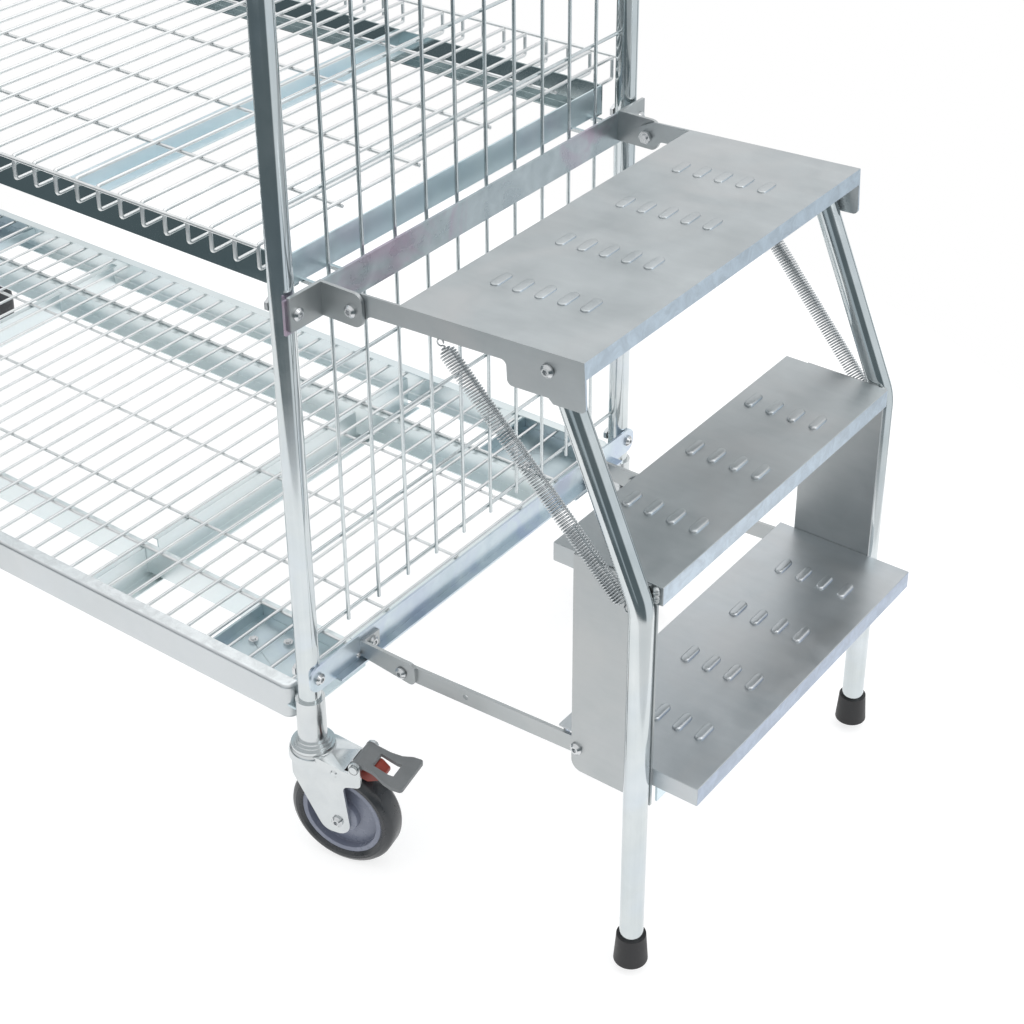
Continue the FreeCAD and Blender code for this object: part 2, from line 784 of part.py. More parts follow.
def strut():
    h = strut_height / 2
    points = [(-h, -h), (link + h, -h), (link + h, h), (-h, h)]
    bar = plate_xz(points, [h - touch_gap / 10] * 4, (-strut_y, strut_thick - strut_y))
    depth = (V(0, -post_y, 0), V(0, 0, 0))
    holes = [(0, pivot_bolt_d + 2 * run_fit), (link, pivot_bolt_d + 2 * open_pivot_gap)]
    for along, d in holes + [(strut_hole_along, strut_hole_d)]:
        bar = drilled(bar, depth[0] + V(along, 0, 0), depth[1] + V(along, 0, 0), d)
    return leaned(bar, strut_d_pivot)


def leaned(shape, pivot):
    """Turns a level link up by the rest tilt and sets it on its pivot."""
    turn = FreeCAD.Rotation(V(0, -1, 0), math.degrees(rest_tilt))
    shape.Placement = FreeCAD.Placement(V(pivot[0], 0, pivot[1]), turn).multiply(shape.Placement)
    return shape


def platform():
    """One folded sheet: top, front lip and two side flanges with their arms and front ears."""
    rise = platform_rise
    low = rise - flange_drop
    ear = rise - ear_drop
    shallow = ear + ear_step
    r = corner_round
    points = [(-arm_round, -arm_round), (arm_round, -arm_round), (arm_round * 2, low), (ear_back, low)]
    points += [(ear_back, shallow), (ear_step_at, shallow), (ear_step_at + ear_step, ear)]
    points += [(platform_front, ear), (platform_front, rise), (arm_round, rise), (-arm_round, arm_round)]
    radii = [arm_round - touch_gap, r, r, r, r, 0, 0, r, 0, r, arm_round / 2]
    flange = plate_xz(points, radii, (-platform_y, sheet - platform_y))
    top = box((platform_back, platform_front), (-platform_y, platform_y), (rise - sheet, rise))
    lip = box((platform_front - sheet, platform_front), (-platform_y, platform_y), (rise - front_lip, rise))
    body = flange.multiFuse([mirrored_y(flange), top, lip]).removeSplitter()
    for along in (0, link):
        hole = pivot_bolt_d + 2 * run_fit
        body = drilled(body, V(along, -post_y, 0), V(along, post_y, 0), hole)
    ys = [platform_slot_group_y * k / 2 for k in (-3, -1, 1, 3)]
    return leaned(body.multiFuse(slot_rows(platform_slot_first, platform_slot_count, ys, rise)), hinge_a)


def arc_middle(start, way, end):
    """Middle of the arc from start, leaving along way, to end."""
    chord = end - start
    bend = way.getAngle(chord)
    half_way = (way + chord * (1 / chord.Length)).normalize()
    return start + half_way * (chord.Length / 2 / math.cos(bend / 2))


def biarc(start, way_out, end, way_in):
    """Two tangent arcs from start along way_out to end along way_in."""
    v = end - start
    slack = 2 * (1 - way_out.dot(way_in))
    along = v.dot(way_out + way_in)
    reach = (math.sqrt(along * along + slack * v.dot(v)) - along) / slack
    joint = (start + way_out * reach + end - way_in * reach) * 0.5
    first = Part.Arc(start, arc_middle(start, way_out, joint), joint)
    second = Part.Arc(joint, arc_middle(end, way_in * -1, joint), end)
    return [first, second]


def spring():
    """Near spring: hook up under the platform flange, open coils, hook into the back of the leg."""
    hook = link_point(hinge_a, spring_hook_along, platform_rise - flange_drop - open_pivot_gap)
    top = V(hook[0], sheet / 2 - platform_y, hook[1])
    low = V(leg_x - tube_r - open_pivot_gap, -leg_y, spring_low_z)
    top_way = V(math.sin(rest_tilt), 0, -math.cos(rest_tilt))
    low_way = V(1, 0, 0)
    line = (low - top).normalize()
    coil_start = top + top_way * spring_lead + line * spring_hook_run
    coil_end = low - low_way * spring_lead - line * spring_hook_run
    axis = coil_end - coil_start
    length = axis.Length
    axis_way = axis * (1 / length)
    side = axis_way.cross(V(0, 1, 0)).normalize()
    across = axis_way.cross(side)
    rise = length / (spring_turns * 2 * math.pi)

    def on_coil(angle):
        out = side * math.cos(angle) + across * math.sin(angle)
        turn_way = across * math.cos(angle) - side * math.sin(angle)
        place = coil_start + axis_way * (rise * angle) + out * spring_coil_r
        return place, (turn_way * spring_coil_r + axis_way * rise).normalize()

    steps = [on_coil(math.pi * k) for k in range(2 * spring_turns + 1)]
    stops = [(top + top_way * spring_lead, top_way)] + steps + [(low - low_way * spring_lead, low_way)]
    arcs = [Part.LineSegment(top, stops[0][0])]
    for (start, way_out), (end, way_in) in zip(stops, stops[1:]):
        arcs += biarc(start, way_out, end, way_in)
    arcs.append(Part.LineSegment(stops[-1][0], low))
    path = Part.Wire([a.toShape() for a in arcs])
    ring = Part.Wire(Part.makeCircle(spring_wire / 2, top, top_way))
    return path.makePipeShell([ring], True, False)


fork_inside = wheel_width / 2 + fork_gap
fork_outside = fork_inside + fork_sheet
crown_low_z = crown_high_z - fork_sheet
axle_z = -wheel_d / 2


def caster_head():
    """Three stepped bearing rings under the socket, and the stem inside it."""
    low = crown_high_z + race_gap
    step = (socket_over_tyre - low) / 3
    pin = king_pin_d / 2 + run_fit
    profile = [(pin, low), (race_d / 2, low), (race_d / 2, low + step), (race_mid_d / 2, low + step)]
    profile += [(race_mid_d / 2, low + 2 * step), (race_neck_d / 2, low + 2 * step)]
    profile += [(race_neck_d / 2, socket_over_tyre), (stem_d / 2, socket_over_tyre), (stem_d / 2, stem_top_z)]
    profile += [(0, stem_top_z), (0, king_pin_top_z + race_gap), (pin, king_pin_top_z + race_gap)]
    return turned(profile, V(0, 0, 0), V(0, 0, 1))


def fork_dome():
    """Pressed crown round the king pin, with a skirt."""
    r = dome_d / 2
    t = fork_sheet
    top = r - dome_round / 2
    profile = [(0, crown_low_z), (top - t, crown_low_z), (r - t, crown_high_z - dome_round - t / 2)]
    profile += [(r - t, dome_skirt_z), (r, dome_skirt_z), (r, crown_high_z - dome_round)]
    profile += [(r - dome_round / 6, crown_high_z - dome_round / 3), (top, crown_high_z), (0, crown_high_z)]
    return turned(profile, V(0, 0, 0), V(0, 0, 1))


def fork_cheek(braked):
    """Near cheek: wide under the crown, narrow at the axle; braked ones have a nose for the pedal pin."""
    low = axle_z - fork_boss
    front_z = crown_high_z - tongue_drop
    points = [(-fork_back, crown_high_z - dome_round), (-fork_back, fork_back_z)]
    points += [(caster_trail - fork_boss, low), (caster_trail + fork_boss, low)]
    radii = [0, fork_boss, fork_boss - touch_gap * 2, fork_boss - touch_gap * 2]
    if braked:
        nose_back = pedal_pivot[0] - nose_r
        nose_top = pedal_pivot[1] + nose_r
        points += [fork_throat, (nose_front, nose_low_z), (nose_front, nose_top), (nose_back, nose_top)]
        points += [(nose_back, front_z), (tongue_front, front_z)]
        radii += [nose_r, nose_r, nose_r - touch_gap, nose_r - touch_gap, 0, 0]
    else:
        points += [(tongue_front, fork_throat[1]), (tongue_front, front_z)]
        radii += [nose_r, 0]
    points += [(tongue_start, crown_high_z), (dome_round - fork_back, crown_high_z)]
    return plate_xz(points, radii + [0, 0], (-fork_outside, -fork_inside))


def caster_fork(braked):
    """Pressed fork: domed crown with the king pin, sloping tongue, two cheeks and a rivet in each."""
    cheek = fork_cheek(braked)
    t = fork_sheet
    slope = [(0, crown_low_z), (tongue_start, crown_low_z), (tongue_front, crown_low_z - tongue_drop)]
    slope += [(x, z + t) for x, z in reversed(slope)]
    tongue = profile_y(slope, (-fork_outside, fork_outside))
    pin = Part.makeCylinder(king_pin_d / 2, king_pin_top_z - crown_low_z, V(0, 0, crown_low_z))
    face = V(rivet[0], -fork_outside, rivet[1])
    button = [(0, 0), (rivet_d / 2, 0), (rivet_d / 3, rivet_height), (0, rivet_height)]
    stud = turned(button, face, V(0, -1, 0))
    others = [mirrored_y(cheek), fork_dome(), tongue, pin, stud, mirrored_y(stud)]
    fork = cheek.multiFuse(others).removeSplitter()
    fork = drilled(fork, V(caster_trail, -axle_half, axle_z), V(caster_trail, axle_half, axle_z), axle_d)
    if braked:
        x, z = pedal_pivot
        fork = drilled(fork, V(x, -axle_half, z), V(x, axle_half, z), pedal_pin_d + 2 * run_fit)
    return fork


def caster_axle():
    return bolt(V(caster_trail, -fork_outside, axle_z), V(caster_trail, fork_outside, axle_z), axle_d)


def wheel_hub():
    bore = axle_d / 2 + run_fit
    rim = tyre_inner_d / 2
    side = wheel_width / 2 - rim_wall / 2
    boss = wheel_width / 2 + fork_gap - touch_gap
    deep = rim - rim_wall
    web = hub_web / 2
    upper = [(bore, boss), (hub_crown_d / 2, boss), (hub_d / 2, boss - hub_crown), (hub_d / 2, web)]
    upper += [(deep, web - hub_dish), (deep, side), (rim, side)]
    lower = [(r, -h) for r, h in reversed(upper)]
    return turned(upper + lower, V(caster_trail, 0, axle_z), V(0, 1, 0))


def wheel_tyre():
    half = wheel_width / 2
    outer = wheel_d / 2
    inner = tyre_inner_d / 2
    side = half - rim_wall / 2
    upper = [(inner, side), (inner + tyre_round / 2, half), (outer - tyre_round, half)]
    upper += [(outer - tyre_round / 4, half - tyre_round / 2), (outer, half - tyre_round)]
    lower = [(r, -h) for r, h in reversed(upper)]
    return turned(upper + lower, V(caster_trail, 0, axle_z), V(0, 1, 0))


def brake_pedal():
    """Moulded pedal: a bent plate that widens to the front, with a window, a barrel and its headed pin."""
    x, z = pedal_pivot
    t = pedal_sheet
    side = list(pedal_tops) + [(a, b - t) for a, b in reversed(pedal_tops)]
    plate = profile_y(side, (-pedal_half_y, pedal_half_y))
    low = pedal_tops[-1][1] - 2 * t
    plan = [(pedal_tops[0][0], pedal_neck_y), (pedal_flare[0], pedal_neck_y)]
    plan += [(pedal_flare[1], pedal_half_y), (pedal_tops[-1][0], pedal_half_y)]
    plan += [(a, -b) for a, b in reversed(plan)]
    radii = (0, pedal_half_y, pedal_corner, pedal_corner, pedal_corner, pedal_corner, pedal_half_y, 0)
    outline = rounded_path([V(a, b, low) for a, b in plan], radii, True)
    plate = plate.common(Part.Face(outline).extrude(V(0, 0, pedal_tops[0][1] - low)))
    window_y = (-pedal_window_half_y, pedal_window_half_y)
    plate = plate.cut(box(pedal_window, window_y, (low, pedal_tops[0][1])))
    barrel = round_bar(V(x, -pedal_neck_y, z), V(x, pedal_neck_y, z), pedal_barrel_d)
    head_y = fork_outside + open_pivot_gap
    pin = round_bar(V(x, -head_y, z), V(x, head_y, z), pedal_pin_d)
    head = round_bar(V(x, -head_y - pedal_pin_head, z), V(x, -head_y, z), pedal_pin_head_d)
    return plate.multiFuse([barrel, pin, head, mirrored_y(head)]).removeSplitter()


def brake_shoe():
    """Red block under the pedal whose lower edge is pressed towards the tyre."""
    points = shoe_heel + shoe_toe
    block = plate_xz(points, [shoe_round] * len(points), (-shoe_half_y, shoe_half_y))
    return block.cut(brake_pedal())


def placed_caster(shape, x, y, yaw):
    place = FreeCAD.Placement(V(x, y, wheel_d), FreeCAD.Rotation(V(0, 0, 1), yaw))
    shape.Placement = place.multiply(shape.Placement)
    return shape


nodes = {}
nodes["step_end_bow"] = step_end_bow()
nodes["far_end_bow"] = at_far_end(end_bow())
nodes["step_end_mesh"] = end_mesh()
nodes["far_end_mesh"] = at_far_end(nodes["step_end_mesh"])
nodes["deck_front_rail"] = deck_rail()
nodes["deck_rear_rail"] = mirrored_y(nodes["deck_front_rail"])
nodes["deck_inner_beams"] = group(both_sides(deck_beam()))
deck_member = deck_cross_member()
nodes["deck_cross_members"] = group([deck_member, at_far_end(deck_member)])
deck_end = deck_end_member()
nodes["deck_end_members"] = group([deck_end, at_far_end(deck_end)])
nodes["deck_mesh"] = deck_mesh()
nodes["corner_plates"] = group(four_corners([corner_plate()]))
nodes["corner_bolts"] = group(four_corners(corner_bolt_pair()))
nodes["caster_sockets"] = group(four_corners([socket(-post_y)]))
nodes["shelf_front_beam"] = shelf_beam()
nodes["shelf_rear_beam"] = mirrored_y(nodes["shelf_front_beam"])
shelf_end = shelf_end_beam()
nodes["shelf_end_beams"] = group([shelf_end, at_far_end(shelf_end)])
shelf_member = shelf_cross_member()
nodes["shelf_cross_members"] = group([shelf_member, at_far_end(shelf_member)])
nodes["shelf_mesh"] = shelf_mesh()
nodes["shelf_clips"] = group(four_corners([shelf_clip()]))
nodes["step_top_bar"] = top_bar()
nodes["step_low_bar"] = low_bar()
nodes["hinge_brackets"] = group(both_sides(hinge_bracket()))
nodes["strut_brackets"] = group(both_sides(strut_bracket()))
nodes["frame_bolts"] = group(frame_bolts())
nodes["hinge_bolts"] = group(hinge_bolts())
nodes["platform"] = platform()
nodes["near_leg"] = leg()
nodes["far_leg"] = mirrored_y(nodes["near_leg"])
nodes["near_side_plate"] = side_plate()
nodes["far_side_plate"] = mirrored_y(nodes["near_side_plate"])
nodes["mid_tread"] = mid_step()
nodes["low_tread"] = low_step()
nodes["rubber_feet"] = group(both_sides(foot_cap()))
nodes["leg_tie_bar"] = tie_bar()
nodes["step_bolts"] = group(step_bolts())
nodes["near_strut"] = strut()
nodes["far_strut"] = mirrored_y(nodes["near_strut"])
nodes["near_spring"] = spring()
nodes["far_spring"] = mirrored_y(nodes["near_spring"])

# Casters: the yaw is mirrored from side to side, and the two at the step end have brakes
heads = []
for end_name, x, braked in (("step", 0, True), ("back", -post_span, False)):
    for side_name, y in (("near", -post_y), ("far", post_y)):
        yaw = caster_yaw if y < 0 else -caster_yaw
        heads.append(placed_caster(caster_head(), x, y, 0))
        pieces = {"fork": caster_fork(braked), "axle": caster_axle()}
        pieces["hub"] = wheel_hub()
        pieces["tyre"] = wheel_tyre()
        if braked:
            pieces["brake_pedal"] = brake_pedal()
            pieces["brake_shoe"] = brake_shoe()
        for piece_name, piece in pieces.items():
            nodes[f"{end_name}_{side_name}_{piece_name}"] = placed_caster(piece, x, y, yaw)
nodes["caster_heads"] = group(heads)

# The origin is the bottom centre of the whole object's box
whole = FreeCAD.BoundBox()
for shape in nodes.values():
    whole.add(shape.optimalBoundingBox(True, False))
shift = V(-whole.Center.x, -whole.Center.y, -whole.ZMin)
os.makedirs("parts", exist_ok=True)
for name, shape in nodes.items():
    shape.translate(shift)
    shape.exportStep(f"parts/{name}.step")
print("nodes", len(nodes), "size", whole.XLength, whole.YLength, whole.ZLength, "shift", shift)
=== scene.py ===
import json
import math

import bpy
from mathutils import Matrix, Vector


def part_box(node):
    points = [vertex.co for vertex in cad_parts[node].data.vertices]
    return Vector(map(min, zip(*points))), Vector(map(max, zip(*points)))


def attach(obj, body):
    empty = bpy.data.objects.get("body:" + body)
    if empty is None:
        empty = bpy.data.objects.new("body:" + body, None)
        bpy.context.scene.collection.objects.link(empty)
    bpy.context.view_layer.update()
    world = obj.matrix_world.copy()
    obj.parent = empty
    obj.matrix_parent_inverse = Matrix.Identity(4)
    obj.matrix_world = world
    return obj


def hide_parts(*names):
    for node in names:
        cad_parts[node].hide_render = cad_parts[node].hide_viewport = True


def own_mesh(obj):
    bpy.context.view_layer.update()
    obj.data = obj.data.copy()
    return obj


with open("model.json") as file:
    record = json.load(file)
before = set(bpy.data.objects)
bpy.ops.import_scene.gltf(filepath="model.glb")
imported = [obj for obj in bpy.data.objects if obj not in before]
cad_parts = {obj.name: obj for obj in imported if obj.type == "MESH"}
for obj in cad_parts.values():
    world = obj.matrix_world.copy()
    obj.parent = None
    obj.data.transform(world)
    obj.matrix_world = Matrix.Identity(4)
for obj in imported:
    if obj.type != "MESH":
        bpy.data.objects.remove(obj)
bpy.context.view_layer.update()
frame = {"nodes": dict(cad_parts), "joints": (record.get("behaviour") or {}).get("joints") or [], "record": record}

scene = bpy.context.scene
nodes = frame["nodes"]
bodies = frame["record"]["behaviour"]["bodies"]
joints = {j["name"]: j for j in frame["joints"]}
body_of = {node: body for body, members in bodies.items() for node in members}

# sizes in metres

# wire meshes
wire = 0.004
round_wire = wire * 1.03
wire_bend = 0.0035
mesh_overhang = 0.008
mesh_pitch_y = 0.050
mesh_pitch_z = 0.100
mesh_columns = 10
mesh_rows = 13
deck_long_ys = (-0.200, -0.126, 0.0, 0.126, 0.200)
deck_cross_count = 39
shelf_long_ys = (-0.1783, -0.0594, 0.0594, 0.1783)
shelf_cross_count = 40
shelf_cross_inset = 0.004
shelf_return_y = 0.266

# springs
spring_wire = 0.0016
spring_coil_r = 0.0081
spring_turns = 102
spring_lead = 0.009
spring_eye_r = 0.0035
spring_hook = (0.101, 0.25025, -0.0035)
spring_eye_degrees = range(-140, 181, 20)
coil_steps = 14
coil_end_share = 0.25
coil_taper_turns = 2.0
leg_y = 0.236

# grips: rings as (share of the width, share of the rise)
platform_tilt = math.radians(2.8)
cad_grip_rise = 0.0012
grip_length = 0.029
grip_width = 0.0108
grip_pitch = 0.026
grip_rise = 0.0028
platform_grip_rise = 0.0015
domed_grip = ((1.0, -0.15), (1.0, 0.0), (0.90, 0.55), (0.74, 0.92), (0.52, 1.0))
flat_grip = ((1.0, -0.15), (1.0, 0.0), (0.96, 0.58), (0.88, 0.92), (0.75, 1.0))
grip_end_steps = 6
tread_grip_count = 4
tread_grip_rows = {"mid_tread": (0.020, (-0.116, 0.0, 0.116)),
                   "low_tread": (0.047, (-0.1455, -0.0485, 0.0485, 0.1455))}
platform_grip_count = 5
platform_grip_start = (0.105, 0, 0.0188)
platform_grip_ys = (-0.1575, -0.0525, 0.0525, 0.1575)

# weld beads
weld_r = 0.0038
weld_uneven, weld_wave = 0.16, 2.3
weld_step = 0.0027
weld_drops = 5
weld_gap = 0.0022
weld_back = 0.0065
weld_sides, weld_levels = 10, 6

# rivet heads: rings as (share of the radius, share of the depth)
rivet_r = 0.0056
rivet_depth = 0.0021
rivet_seat = 0.97
rivet_rings = ((1.0, 0.0), (1.0, 0.8), (0.82, 1.0), (0.55, 1.08))
rivet_sides = 20

# shading of the carried-over solids
sharp_angle = math.radians(32)
join_distance = 0.00001
edge_segments = 2

# room round the object, by direction in degrees from +X towards +Y; edges are heights of the direction
wall_dark = (0.062, 0.098, 0.112)
wall_pale = (0.86, 0.91, 0.94)
window = (0.46, 0.53, 0.57)
far_walls = ((-17, wall_dark), (-8, wall_pale), (60, wall_pale), (65, wall_dark), (71, wall_dark),
             (76, wall_pale), (128, wall_pale), (142, wall_dark), (180, wall_dark))
low_wall = ((-180, wall_dark), *far_walls)
high_wall = ((-180, wall_dark), (-117, wall_dark), (-112, window), (-64, window), (-59, wall_dark), *far_walls)
wall_edge = (-0.29, -0.25)
room_floor, room_floor_edge = (0.93, 0.94, 0.95), (-0.545, -0.495)
room_ceiling, room_ceiling_edge = (1.0, 1.005, 1.01), (0.10, 0.42)
room_strength = 0.95
white_in_gloss = 0.08

# floor and lamps: lamps as (name, place, target, size, power)
floor_reach = 1.25
floor_corners = 96
floor_grey = 0.42
floor_glow = 0.72
lamps = (("top", (0.2, 0.5, 3.4), (0.2, 0.0, 0.5), (4.0, 3.6), 30),
         ("side", (3.0, 0.2, 2.0), (0.5, 0.0, 0.5), (1.0, 1.8), 12))

# camera
view_place = (1.6015, -1.4982, 1.5878)
view_turn = math.radians(36.01)
view_rise = math.radians(30.01)
view_roll = math.radians(0.11)
view_lens = 70.76
view_sensor = 36.0
view_shift = (-0.03, -0.15)
view_near = 0.05


# materials

def new_material(name):
    mat = bpy.data.materials.new(name)
    mat.use_nodes = True
    tree = mat.node_tree
    return mat, tree, tree.nodes["Principled BSDF"]


def object_place(tree, scale=(1, 1, 1)):
    coords = tree.nodes.new("ShaderNodeTexCoord")
    mapping = tree.nodes.new("ShaderNodeMapping")
    mapping.inputs["Scale"].default_value = scale
    tree.links.new(coords.outputs["Object"], mapping.inputs["Vector"])
    return mapping.outputs["Vector"]


def noise(tree, place, scale, detail, rough, distort=0.0):
    n = tree.nodes.new("ShaderNodeTexNoise")
    n.inputs["Scale"].default_value = scale
    n.inputs["Detail"].default_value = detail
    n.inputs["Roughness"].default_value = rough
    n.inputs["Distortion"].default_value = distort
    tree.links.new(place, n.inputs["Vector"])
    return n.outputs["Fac"]


def ramp(tree, value, stops):
    r = tree.nodes.new("ShaderNodeValToRGB")
    elements = r.color_ramp.elements
    while len(elements) < len(stops):
        elements.new(0.5)
    for e, (at, colour) in zip(elements, stops):
        e.position = at
        e.color = (*colour, 1.0)
    tree.links.new(value, r.inputs["Fac"])
    return r.outputs["Color"]


def spread(tree, value, low, high, start=0.3, end=0.7):
    """Value from start to end taken to low to high."""
    m = tree.nodes.new("ShaderNodeMapRange")
    m.inputs["From Min"].default_value = start
    m.inputs["From Max"].default_value = end
    m.inputs["To Min"].default_value = low
    m.inputs["To Max"].default_value = high
    tree.links.new(value, m.inputs["Value"])
    return m.outputs["Result"]


def mixed(tree, factor, first, second, blend="MIX"):
    """Colour mix; the factor is a number or a socket, each colour a tuple or a socket."""
    m = tree.nodes.new("ShaderNodeMix")
    m.data_type = "RGBA"
    m.blend_type = blend
    if isinstance(factor, float):
        m.inputs[0].default_value = factor
    else:
        tree.links.new(factor, m.inputs[0])
    for socket, value in ((m.inputs[6], first), (m.inputs[7], second)):
        if isinstance(value, tuple):
            socket.default_value = (*value, 1.0)
        else:
            tree.links.new(value, socket)
    return m.outputs[2]


def bumped(tree, shader, height, distance, strength):
    b = tree.nodes.new("ShaderNodeBump")
    b.inputs["Distance"].default_value = distance
    b.inputs["Strength"].default_value = strength
    tree.links.new(height, b.inputs["Height"])
    tree.links.new(b.outputs["Normal"], shader.inputs["Normal"])


def zinc(name, dark, pale, rough, patch, stretch, tint=None, tint_share=0.0, marks_share=0.6,
         painted_facing=None, painted_facing_axis="X"):
    """Zinc plate: cloudy patches, drawn-out rolling marks, fine grain; faces towards one axis get a painted light
    tone, paler or darker per look, mottled with paler patches of painted sheen and wear.
    """
    mat, tree, shader = new_material(name)
    place = object_place(tree)
    drawn = object_place(tree, stretch)
    clouds = noise(tree, place, patch, 4.0, 0.55, 0.4)
    marks = noise(tree, drawn, 1.0, 4.0, 0.6)
    grain = noise(tree, place, 1400.0, 2.0, 0.6)
    colour = ramp(tree, clouds, [(0.3, dark), (0.7, pale)])
    shade = ramp(tree, marks, [(0.25, (0.86, 0.87, 0.88)), (0.75, (1, 1, 1))])
    colour = mixed(tree, marks_share, colour, shade, "MULTIPLY")
    if tint:
        spots = noise(tree, place, patch * 0.35, 3.0, 0.6, 1.0)
        colour = mixed(tree, spread(tree, spots, 0.0, tint_share, 0.48, 0.72), colour, tint)
    # painted light: faces that point along one axis take a painted tone, mottled with paler patches of painted
    # sheen and wear
    if painted_facing:
        facing = tree.nodes.new("ShaderNodeSeparateXYZ")
        tree.links.new(tree.nodes["Texture Coordinate"].outputs["Normal"], facing.inputs[0])
        wear_and_sheen = tuple(min(0.95, 1.22 * c) for c in painted_facing)
        painted_facing_colour = ramp(tree, noise(tree, place, 60.0, 5.0, 0.65, 0.8), [(0.38, painted_facing), (0.62, wear_and_sheen)])
        colour = mixed(tree, spread(tree, facing.outputs[painted_facing_axis], 0.0, 0.85, 0.75, 0.95), colour, painted_facing_colour)
    tree.links.new(colour, shader.inputs["Base Color"])
    shader.inputs["Metallic"].default_value = 1.0
    both = tree.nodes.new("ShaderNodeMath")
    both.operation = "MULTIPLY_ADD"
    both.inputs[1].default_value = 0.5
    tree.links.new(marks, both.inputs[0])
    tree.links.new(clouds, both.inputs[2])
    tree.links.new(spread(tree, both.outputs[0], *rough, 0.5, 1.0), shader.inputs["Roughness"])
    bumped(tree, shader, grain, 0.00002, 0.5)
    return mat


def moulded(name, dark, pale, rough, grain_scale, grain_depth, speck=None):
    """Moulded plastic or rubber: fine grain, faint mottling and rubbed spots."""
    mat, tree, shader = new_material(name)
    place = object_place(tree)
    mottle = noise(tree, place, 35.0, 4.0, 0.6)
    grain = noise(tree, place, grain_scale, 2.0, 0.5)
    colour = ramp(tree, mottle, [(0.3, dark), (0.72, pale)])
    if speck:
        spots = noise(tree, place, 160.0, 5.0, 0.7, 0.6)
        colour = mixed(tree, spread(tree, spots, 0.0, 0.5, 0.58, 0.75), colour, speck)
    tree.links.new(colour, shader.inputs["Base Color"])
    tree.links.new(spread(tree, mottle, *rough), shader.inputs["Roughness"])
    bumped(tree, shader, grain, grain_depth, 0.6)
    return mat


zinc_looks = {
    "bright_zinc_tube": dict(
        dark=(0.595, 0.64, 0.65), pale=(0.68, 0.715, 0.72), rough=(0.07, 0.15),
        patch=22.0, stretch=(160, 160, 5), tint=(0.58, 0.66, 0.76), tint_share=0.3),
    "grey_zinc_sheet": dict(
        dark=(0.45, 0.475, 0.48), pale=(0.53, 0.55, 0.555), rough=(0.34, 0.46),
        patch=16.0, stretch=(14, 90, 90), tint=(0.56, 0.56, 0.55), tint_share=0.5),
    "tread_zinc": dict(
        dark=(0.46, 0.49, 0.50), pale=(0.55, 0.58, 0.59), rough=(0.32, 0.44),
        patch=16.0, stretch=(14, 90, 90), tint=(0.58, 0.58, 0.58), tint_share=0.5,
        # painted sheen: the front lips, facing +X, take a paler bluish painted tone
        painted_facing=(0.54, 0.62, 0.70)),
    "low_tread_zinc": dict(
        dark=(0.51, 0.545, 0.565), pale=(0.61, 0.64, 0.66), rough=(0.32, 0.44),
        patch=16.0, stretch=(14, 90, 90), tint=(0.58, 0.58, 0.58), tint_share=0.5,
        # painted shade: the front lip, facing +X, takes a darker bluish painted tone
        painted_facing=(0.37, 0.43, 0.53)),
    "blue_zinc_profile": dict(
        dark=(0.70, 0.82, 0.86), pale=(0.82, 0.91, 0.94), rough=(0.28, 0.42),
        patch=9.0, stretch=(6, 60, 60), tint=(0.60, 0.73, 0.82), tint_share=0.6, marks_share=0.2),
    "plate_zinc": dict(
        dark=(0.50, 0.60, 0.64), pale=(0.62, 0.71, 0.74), rough=(0.26, 0.38),
        patch=22.0, stretch=(30, 30, 30), tint=(0.48, 0.56, 0.68), tint_share=0.6, marks_share=0.4),
    "low_bar_zinc": dict(
        dark=(0.54, 0.63, 0.69), pale=(0.70, 0.78, 0.82), rough=(0.26, 0.38),
        patch=24.0, stretch=(60, 8, 60), tint=(0.50, 0.55, 0.72), tint_share=0.8, marks_share=0.5),
    "dark_zinc_profile": dict(
        dark=(0.40, 0.47, 0.48), pale=(0.50, 0.57, 0.58), rough=(0.05, 0.10),
        patch=9.0, stretch=(6, 60, 60), tint=(0.44, 0.52, 0.55), tint_share=0.5, marks_share=0.3),
    "deck_zinc": dict(
        dark=(0.74, 0.81, 0.82), pale=(0.83, 0.88, 0.885), rough=(0.34, 0.44),
        patch=10.0, stretch=(6, 60, 60), tint=(0.74, 0.82, 0.85), tint_share=0.6, marks_share=0.2),
    "rail_zinc": dict(
        dark=(0.57, 0.60, 0.61), pale=(0.64, 0.66, 0.67), rough=(0.30, 0.40),
        patch=12.0, stretch=(6, 90, 90), tint=(0.62, 0.66, 0.69), tint_share=0.4, marks_share=0.2,
        # painted highlight: the rail's top, facing +Z, takes a paler painted tone
        painted_facing=(0.74, 0.77, 0.78), painted_facing_axis="Z"),
    "caster_zinc": dict(
        dark=(0.59, 0.62, 0.63), pale=(0.66, 0.685, 0.69), rough=(0.17, 0.26),
        patch=30.0, stretch=(40, 40, 20), tint=(0.57, 0.62, 0.66), tint_share=0.3, marks_share=0.15),
    "zinc_wire": dict(
        dark=(0.74, 0.76, 0.76), pale=(0.86, 0.87, 0.87), rough=(0.32, 0.42),
        patch=45.0, stretch=(60, 60, 60)),
    "mesh_wire": dict(
        dark=(0.62, 0.67, 0.68), pale=(0.74, 0.78, 0.79), rough=(0.12, 0.22),
        patch=45.0, stretch=(60, 60, 60)),
    "bolt_steel": dict(
        dark=(0.55, 0.57, 0.58), pale=(0.74, 0.75, 0.76), rough=(0.14, 0.28),
        patch=120.0, stretch=(400, 400, 400)),
    "spring_steel": dict(
        dark=(0.50, 0.52, 0.53), pale=(0.66, 0.68, 0.69), rough=(0.12, 0.20),
        patch=90.0, stretch=(300, 300, 300)),
    "passivated_zinc": dict(
        dark=(0.40, 0.455, 0.48), pale=(0.57, 0.63, 0.655), rough=(0.24, 0.36),
        patch=30.0, stretch=(30, 12, 60), tint=(0.50, 0.38, 0.48), tint_share=0.9),
}
